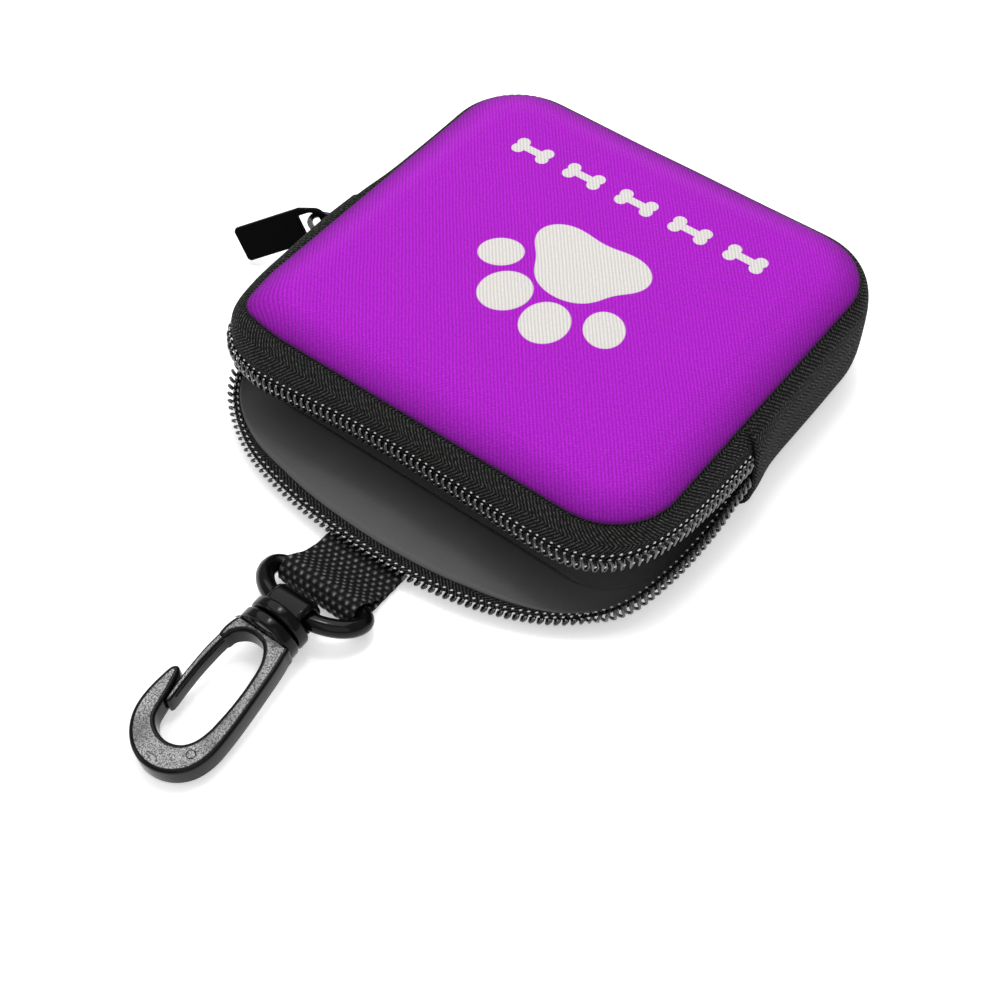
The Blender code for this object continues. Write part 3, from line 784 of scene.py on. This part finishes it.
def tube(name, mat, path, radius, resolution, cyclic=False, matrix=None):
    curve = bpy.data.curves.new(name, "CURVE")
    curve.dimensions = "3D"
    curve.bevel_depth = radius * MM
    curve.bevel_resolution = resolution
    curve.use_fill_caps = not cyclic
    spline = curve.splines.new("POLY")
    spline.points.add(len(path) - 1)
    for point, place in zip(spline.points, path):
        point.co = (*(Vector(place) * MM), 1.0)
    spline.use_cyclic_u = cyclic
    curve.materials.append(mat)
    obj = link(curve, name)
    if matrix:
        obj.matrix_world = matrix
    return settle(obj)


def pipe(name, mat, path, radius):
    """A round fold of cloth along a path, closed at its ends. UV is millimetres along and round."""
    sides = 14
    points, uvs, faces, run = [], [], [], 0.0
    up = Vector((0, 0, 1))
    for i, p in enumerate(path):
        if i:
            run += (p - path[i - 1]).length
        t = direction_at(path, i)
        a = up - t * up.dot(t)
        a = (a if a.length > 0.1 else Vector((0, 1, 0)) - t * t.y).normalized()
        b = t.cross(a)
        up = a
        for j in range(sides):
            phi = 2 * math.pi * j / sides
            points.append(p + (a * math.cos(phi) + b * math.sin(phi)) * radius)
            uvs.append((run, radius * math.pi * abs(2 * j / sides - 1)))
    for i in range(len(path) - 1):
        for j in range(sides):
            k = (j + 1) % sides
            faces.append((i * sides + j, i * sides + k, (i + 1) * sides + k, (i + 1) * sides + j))
    faces.append(tuple(reversed(range(sides))))
    faces.append(tuple(range((len(path) - 1) * sides, len(path) * sides)))
    return make(name, points, faces, mat, uvs)


def beads(name, mat, spots, size):
    """Many small stitches in one mesh: each is a stretched ball at (place, along, up)."""
    bm = bmesh.new()
    for place, along, up in spots:
        side = along.cross(up).normalized()
        turn = Matrix((along.normalized(), side, up.normalized())).transposed().to_4x4()
        shape = Matrix.Diagonal((size[0] * MM, size[1] * MM, size[2] * MM, 1))
        spot = Matrix.Translation(place * MM) @ turn @ shape
        bmesh.ops.create_icosphere(bm, subdivisions=2, radius=1.0, matrix=spot)
    mesh = bpy.data.meshes.new(name)
    bm.to_mesh(mesh)
    bm.free()
    mesh.materials.append(mat)
    mesh.shade_smooth()
    return link(mesh, name)


def arc(cx, cy, r, a0, a1, steps):
    """Points on a circle between two angles in degrees, both ends included."""
    return [(cx + r * math.cos(a), cy + r * math.sin(a))
            for a in (math.radians(a0 + (a1 - a0) * i / steps) for i in range(steps + 1))]


def rounded(width, depth, radius):
    """A rectangle with round corners."""
    steps = 16
    out = []
    for k in range(4):
        cx = (width / 2 - radius) * (1 if k in (0, 3) else -1)
        cy = (depth / 2 - radius) * (1 if k in (0, 1) else -1)
        out += arc(cx, cy, radius, 90 * k, 90 * k + 90, steps)
    return out


def smooth_outline(controls, count):
    """A closed smooth line through given corners."""
    pts = [Vector(c) for c in controls]
    n = len(pts)
    dense = []
    for i in range(n):
        dense += span_between(*(pts[(i + k) % n] for k in (-1, 0, 1, 2)), 12)
    dense.append(dense[0])
    return [tuple(p) for p in even(dense, count + 1)[:-1]]


def plate(name, mats, outlines, half, bevel, matrix, resolution, rim=0.0):
    """A flat moulding with rounded edges, `half` its thickness each way.

    With two materials, the first is for its two faces, apart from a margin `rim` wide."""
    flat_enough = 0.97
    curve = bpy.data.curves.new(name, "CURVE")
    curve.dimensions = "2D"
    curve.fill_mode = "BOTH"
    curve.extrude = (half - bevel) * MM
    curve.bevel_depth = bevel * MM
    curve.bevel_resolution = resolution
    curve.offset = -bevel * MM
    for outline in outlines:
        spline = curve.splines.new("POLY")
        spline.points.add(len(outline) - 1)
        for point, (x, y) in zip(spline.points, outline):
            point.co = (x * MM, y * MM, 0.0, 1.0)
        spline.use_cyclic_u = True
    for mat in mats:
        curve.materials.append(mat)
    obj = settle(link(curve, name))
    mesh = obj.data
    bm = bmesh.new()
    bm.from_mesh(mesh)
    bmesh.ops.remove_doubles(bm, verts=bm.verts, dist=0.000002)
    bmesh.ops.recalc_face_normals(bm, faces=bm.faces)
    for face in bm.faces:
        facing = abs(face.normal.z) > flat_enough
        face.material_index = 0 if (facing or len(mats) == 1) else 1
        face.smooth = not facing
    if rim:
        flat = [face for face in bm.faces if abs(face.normal.z) > flat_enough]
        margin = bmesh.ops.inset_region(bm, faces=flat, thickness=rim * MM, use_even_offset=True)["faces"]
        for face in margin:
            face.material_index = 1
    bm.to_mesh(mesh)
    bm.free()
    mesh.transform(matrix)
    return obj


# ---------------------------------------------------------------- build
set_up_stage()
KNIT = knit_material()
TWILL = twill_material("gusset_twill", rib=1.0, column=5.2, grey=0.135, tone=0.0025)
TAPE = twill_material("zipper_tape", rib=0.85, column=6.4, grey=0.155, tone=0.0020)
LINING = lining_material()
COIL = gloss_material("zipper_coil", 0.004, 0.14, 0.8, coat=0.3)
# The stitches' light grey, partly metallic, is painted highlight on black sewing thread.
THREAD_PAINTED_HIGHLIGHT = gloss_material("zipper_thread_painted_highlight", 0.42, 0.26, 1.0, metal=0.3)
SEAM = gloss_material("seam_thread", 0.008, 0.5, 0.2)
GLOSS = gloss_material("hook_gloss", 0.002, 0.12, 0.16)
GRAIN = grain_material("hook_grain", 0.045, 0.20)
RING_GLOSS = gloss_material("ring_gloss", 0.002, 0.10, 0.20)
SLIDER_BLACK = gloss_material("slider_black", 0.005, 0.20, 0.5)
TAB_BLACK = gloss_material("pull_tab_black", 0.0010, 0.45, 0.02)
WEBBING = webbing_material()

upper = spline_points(UPPER, 240)
lower = spline_points(LOWER, 280)

# Front panel, the stitches round it and its lining.
panel = front_panel(KNIT)
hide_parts("front_panel_rear", "front_panel_mouth", "front_foam_rear", "front_foam_mouth")
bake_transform(panel)


def seam_spots(count):
    """Places for stitches just outside the panel's edge, each with its direction and its way up."""
    out_by, height = 0.36, 24.60
    dense = []
    for x, y in arc(0, 0, 60, 0, 360, 720):
        edge, out = edge_of_panel((x, y))
        dense.append(ease_corner(Vector((*(edge + out * out_by), height))))
    path = even(dense, 2 * count + 1)
    return [(path[i] + Vector((0, 0, 0.05)), (path[i + 1] - path[i - 1]).normalized(), Vector((0, 0, 1)))
            for i in range(0, 2 * count, 2)]


stitches = beads("panel_seam", SEAM, seam_spots(210), (0.72, 0.15, 0.12))
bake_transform(stitches)

ceiling_points = panel_grid(45, 49, 2.4, lambda x, y: top_of_panel(x, y) - 4.1)
ceiling_uvs = [(p.x, p.y) for p in ceiling_points]
ceiling = make("front_lining", ceiling_points, grid_faces(45, 49), LINING, ceiling_uvs)
ceiling = settle(thicken(ceiling, 0.4))
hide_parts("front_lining_rear", "front_lining_mouth")
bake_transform(ceiling)

# The zip's upper row: tape, coil and sewing thread.
rows = upper_rows(upper, TAPE_COLS)
tape = strip("upper_tape", TAPE, rows, TAPE_T)
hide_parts("upper_zipper_tape", "upper_tape_end_left", "upper_tape_end_right")
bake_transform(tape)


def outside(p):
    return Vector((*edge_of_panel(p)[1], 0.25))


def underside(p):
    return Vector((*edge_of_panel(p)[1], -1.0))


def clear_of_hem(path, sections):
    """Leaves out the coil's last turns on the right, which are sewn under the gusset's hem."""
    kept = [i for i, p in enumerate(path) if not (p.x > 0 and p.y > HEM_RIGHT - 0.4)]
    return [path[i] for i in kept], [sections[i] for i in kept]


path, seen = clear_of_hem(upper, rows)
frames = coil_frames(path, seen, outside)
teeth = coil("upper_coil", COIL, frames, length_of(path))
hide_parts("upper_zipper_coil", "upper_coil_end_left", "upper_coil_end_right")
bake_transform(teeth)
sewn = stitch_rows(
    "upper_coil_stitches", THREAD_PAINTED_HIGHLIGHT, frames, length_of(path),
    ((2.5, 0.75, 0.0), (1.25, 1.50, 0.5), (3.5, 0.42, 0.25)), (0.36, 0.17, 0.17),
)
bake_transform(sewn)

# The zip's lower row, and the lining inside its lip.
rows = lower_rows(lower, TAPE_COLS)
tape = strip("lower_tape", TAPE, rows, TAPE_T)
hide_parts("lower_zipper_tape")
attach(tape, "pouch")
path, seen = clear_of_hem(lower, rows)
frames = coil_frames(path, seen, underside)
teeth = coil("lower_coil", COIL, frames, length_of(path), heel=2.2, head=0.45, rise=0.5, wire=0.32)
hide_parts("lower_zipper_coil")
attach(teeth, "pouch")
sewn = stitch_rows(
    "lower_coil_stitches", THREAD_PAINTED_HIGHLIGHT, frames, length_of(path),
    ((0.9, -0.36, 0.0), (-0.1, -0.30, 0.25)), (0.36, 0.19, 0.19),
)
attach(sewn, "pouch")

lip = strip("lip_lining", LINING, lower_rows(lower, 16, lift=0.55, bare=1.9), 0.35)
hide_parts("lower_lip_lining")
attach(lip, "pouch")


def wall_path(count):
    """Round the back of the panel's outline, from the left hem to the right one."""
    half_w, half_d, r = PANEL_W / 2, PANEL_D / 2, PANEL_R
    dense = [Vector((-half_w, HEM_LEFT + (half_d - r - HEM_LEFT) * i / 20, 0)) for i in range(20)]
    dense += [Vector((*p, 0)) for p in arc(-half_w + r, half_d - r, r, 180, 90, 24)]
    dense += [Vector(((half_w - r) * (2 * i / 30 - 1), half_d, 0)) for i in range(1, 30)]
    dense += [Vector((*p, 0)) for p in arc(half_w - r, half_d - r, r, 90, 0, 24)]
    dense += [Vector((half_w, half_d - r + (HEM_RIGHT - half_d + r) * i / 20, 0)) for i in range(1, 21)]
    return even(dense, count)


def wall_rows(path, inside, margin, count):
    """Full shoulders at both seams, and fuller at the hems, where the wall laps over the zip's ends."""
    sections = []
    low_z, high_z = SEAM_LOW[1] + margin, SEAM_TOP[1] + 0.5 - margin
    for p in path:
        edge, out = edge_of_panel(p)
        hem = HEM_LEFT if p.x < 0 else HEM_RIGHT
        lap = math.exp(-(((p.y - hem) / 7.0) ** 2)) if p.y < 20 else 0.0
        full = 3.9 + 1.3 * lap - inside
        slack = 0.35 * noise.noise(Vector((p.x * 0.045, p.y * 0.045, 7.0)))
        row = []
        for i in range(count):
            a = math.pi * i / (count - 1)
            rise = math.copysign(abs(math.cos(a)) ** 0.66, math.cos(a))
            swell = max(0.0, math.sin(a)) ** 0.66 * (full + slack - 0.6 * (1 - math.cos(a)) / 2 * (1 - lap))
            at = edge + out * (SEAM_TOP[0] + swell)
            row.append(Vector((*at, (low_z + high_z) / 2 + (high_z - low_z) / 2 * rise)))
        sections.append(row)
    return sections


# Gusset, its lining and its two hems.
around = wall_path(170)
rows = wall_rows(around, 0.0, 0.0, 30)
wall = strip("gusset_wall", TWILL, rows, 0.8, rim=0.25)
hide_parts("gusset")
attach(wall, "pouch")
inner = strip("gusset_inner", LINING, wall_rows(around, 1.3, 0.8, 16), 0.35)
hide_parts("gusset_lining")
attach(inner, "pouch")
for where, row in (("left", rows[0]), ("right", rows[-1])):
    hem = pipe("gusset_hem_" + where, TWILL, even(row, 60), 0.52)
    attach(hem, "pouch")

# Back panel and its lining.
back_half = 0.65
back_outline = rounded(PANEL_W - 0.4, PANEL_D - 0.4, PANEL_R)
back_place = Matrix.Translation((0, 0, back_half * MM))
low = plate("back_sheet", [TWILL], [back_outline], back_half, 0.45, back_place, 3)
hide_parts("back_panel")
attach(low, "pouch")


def inner_floor_height(x, y):
    """Slightly uneven, and turned up at its edge."""
    uneven = 0.25 * noise.noise(Vector((x * 0.05, y * 0.05, 3)))
    return 1.75 + uneven + 0.95 * max(0.0, 1 - inset(x, y) / 5.0) ** 2


points = panel_grid(41, 45, 0.9, inner_floor_height)
floor_cloth = make("inner_floor", points, grid_faces(41, 45), LINING, [(p.x, p.y) for p in points])
floor_cloth = settle(thicken(floor_cloth, 0.35))
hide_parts("back_lining")
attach(floor_cloth, "pouch")


# Webbing tab.
def webbing_line(count):
    """The strap's middle, from its sewn end over the ring's bar and back."""
    _, bar_y, bar_z = BAR
    line = [(-47.0, 1.55), (-60.0, 1.5), (-66.0, 1.7), (-69.4, 2.9)]
    line += arc(bar_y, bar_z, CORD_R + 0.9, 80, 262, 22)
    line += [(-70.0, 0.75), (-60.0, 0.7), (-47.0, 0.7)]
    return even([Vector((0, y, z)) for y, z in line], count)


def webbing_sheet(line, cols):
    """A real plain weave: every float stands up, and each row is half a repeat on from the last."""
    points, uvs, run = [], [], 0.0
    for i, p in enumerate(line):
        if i:
            run += (p - line[i - 1]).length
        t = direction_at(line, i)
        normal = Vector((0, t.z, -t.y)).normalized()
        shift = (int((run + 40) / WEAVE_V) % 2) * WEAVE_U / 2
        lift = abs(math.sin(math.pi * run / WEAVE_V))
        for j in range(cols):
            s = 2 * j / (cols - 1) - 1
            x = WEBBING_HALF * s
            raised = (0.5 + 0.5 * math.sin(2 * math.pi * (x + shift) / WEAVE_U)) * lift
            edge = max(0.0, abs(s) - 0.94) / 0.06
            points.append(Vector((x, p.y, p.z)) + normal * (0.24 * raised - 0.10 - 0.18 * edge ** 2))
            uvs.append((x, run))
    return make("webbing", points, grid_faces(len(line), cols), WEBBING, uvs)


tab = settle(thicken(webbing_sheet(webbing_line(321), 113), 0.75))
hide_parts("webbing_tab")
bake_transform(tab)


def frame_at(origin, tilt):
    """A place in millimetres, tipped up by `tilt` degrees."""
    return Matrix.Translation(Vector(origin) * MM) @ Matrix.Rotation(math.radians(tilt), 4, "X")


# D-ring: a straight bar, two round corners and half an ellipse.
corner = 2.2
ring = [(x, 0.0, 0.0) for x in (-7.5, -4.5, -1.5, 1.5, 4.5, 7.5)]
ring += [(x, y, 0.0) for x, y in arc(RING_HALF - corner, -corner, corner, 90, 0, 10)]
ring += [(RING_HALF * math.cos(a), -corner - (RING_LEN - corner) * math.sin(a), 0.0)
         for a in (math.pi * i / 64 for i in range(1, 64))]
ring += [(x, y, 0.0) for x, y in arc(-RING_HALF + corner, -corner, corner, 180, 90, 10)]
hoop = tube("ring_hoop", RING_GLOSS, ring, CORD_R, 6, True, frame_at(BAR, RING_TILT))
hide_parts("d_ring")
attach(hoop, "ring")

# Hook body, collar and mould mark, in the hook's own plane.
lay = frame_at(EYE, HOOK_TILT)
hook_line = smooth_outline([
    (-5.6, -6.6), (-6.3, -7.6), (-6.7, -9.2), (-6.8, -10.6), (-6.6, -11.9), (-5.8, -12.3), (-5.0, -11.7),
    (-4.6, -10.2), (-2.8, -8.7), (-0.4, -8.4), (1.8, -9.2), (3.7, -12.0), (4.7, -16.4), (5.2, -21.0),
    (5.3, -24.7), (5.2, -27.6), (4.5, -30.3), (3.0, -32.2), (0.7, -33.1), (-1.5, -32.9), (-3.4, -32.0),
    (-4.7, -30.6), (-5.2, -29.0), (-5.6, -27.2), (-6.2, -24.8), (-6.8, -22.9), (-7.3, -21.6), (-8.2, -21.1),
    (-9.1, -22.0), (-9.4, -24.5), (-9.5, -27.1), (-9.3, -29.8), (-8.6, -32.4), (-7.3, -34.7), (-5.5, -36.6),
    (-3.3, -38.0), (-0.6, -38.8), (2.6, -38.6), (5.6, -37.2), (7.9, -34.6), (9.0, -31.0), (9.0, -26.8),
    (8.5, -21.6), (7.8, -16.2), (7.1, -11.5), (6.5, -8.6), (5.6, -6.6), (0.0, -6.5),
], 300)
body = plate("snap_hook", [GRAIN, GLOSS], [hook_line], HOOK_T / 2, 0.7, lay, 5, rim=0.32)
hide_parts("hook_body")
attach(body, "hook")


def turned(name, mat, profile, matrix):
    """A turned solid about local Y from (radius, y) pairs."""
    steps = 64
    points, faces = [], []
    for k in range(steps):
        a = 2 * math.pi * k / steps
        points += [Vector((r * math.cos(a), y, r * math.sin(a))) for r, y in profile]
    m = len(profile)
    for k in range(steps):
        here, there = k * m, (k + 1) % steps * m
        faces += [(here + j, here + j + 1, there + j + 1, there + j) for j in range(m - 1)]
    obj = make(name, points, faces, mat)
    obj.data.transform(matrix)
    bm = bmesh.new()
    bm.from_mesh(obj.data)
    bmesh.ops.remove_doubles(bm, verts=bm.verts, dist=0.000001)
    bmesh.ops.recalc_face_normals(bm, faces=bm.faces)
    bm.to_mesh(obj.data)
    bm.free()
    return obj


def band(radius, y0, y1, soft):
    """Profile of a disc with rolled rims between two heights."""
    rim = arc(radius - soft, y0 - soft, soft, 90, 0, 5) + arc(radius - soft, y1 + soft, soft, 0, -90, 5)
    return [(0.0, y0)] + rim + [(0.0, y1)]


collar = turned("hook_collar", GLOSS, band(6.2, -4.75, -7.1, 0.55), lay)
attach(collar, "hook")
mark_line = [(x, y, HOOK_T / 2) for x, y in arc(5.9, -32.6, 0.85, 0, 345, 23)]
mark = tube("mould_mark", GLOSS, mark_line, 0.09, 2, True, lay)
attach(mark, "hook")

# Spring gate and the rib along it, measured from the gate's pin.
pin_x, pin_y = GATE_PIN
gate_line = smooth_outline([(pin_x + dx, pin_y + dy) for dx, dy in (
    (-1.55, 1.2), (-0.75, 1.3), (-0.35, -0.6), (-0.45, -4.0), (-0.4, -8.0), (-0.1, -12.0), (0.3, -15.4),
    (0.2, -16.6), (-0.5, -16.7), (-0.9, -15.0), (-1.4, -11.5), (-1.7, -8.0), (-1.85, -4.5), (-1.75, -1.5),
)], 160)
gate = plate("spring_gate", [GRAIN, GLOSS], [gate_line], HOOK_T / 2 - 0.25, 0.4, lay, 4, rim=0.15)
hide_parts("hook_gate")
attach(gate, "gate")
ridge_line = [(pin_x + dx, pin_y + dy, 1.2) for dx, dy in (
    (-0.38, -1.5), (-0.42, -4.0), (-0.38, -8.0), (-0.08, -12.0), (0.2, -15.0),
)]
ridge = tube("gate_rib", GLOSS, spline_points(ridge_line, 40), 0.28, 3, False, lay)
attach(ridge, "gate")

# Swivel eye: a lobed block bored for the ring, on a round collar.
side_line = smooth_outline([
    (3.7, 0.0), (3.2, 1.9), (1.8, 3.3), (0.0, 3.7), (-1.8, 3.3), (-3.2, 1.9), (-3.7, 0.0),
    (-3.6, -1.8), (-3.9, -2.9), (-3.2, -3.4), (0.0, -3.4), (3.2, -3.4), (3.9, -2.9), (3.6, -1.8),
], 120)
bore = arc(0.0, 0.0, 2.35, 0, 352.5, 47)
# The plate's thickness lies along X.
edge_on = Matrix(((0, 0, 1, 0), (0, 1, 0, 0), (-1, 0, 0, 0), (0, 0, 0, 1)))
knuckle = plate("swivel_knuckle", [GLOSS], [side_line, bore], 4.3, 1.0, lay @ edge_on, 5)
for face in knuckle.data.polygons:
    face.use_smooth = True
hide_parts("swivel_eye")
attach(knuckle, "swivel")
disc = turned("swivel_collar", GLOSS, band(6.1, -1.7, -4.3, 0.7), lay)
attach(disc, "swivel")

# The slider and its pull tab are the CAD pieces, in black.
for node, mat in (("zipper_slider", SLIDER_BLACK), ("pull_tab", TAB_BLACK)):
    for slot in bpy.data.objects[node].material_slots:
        slot.material = mat
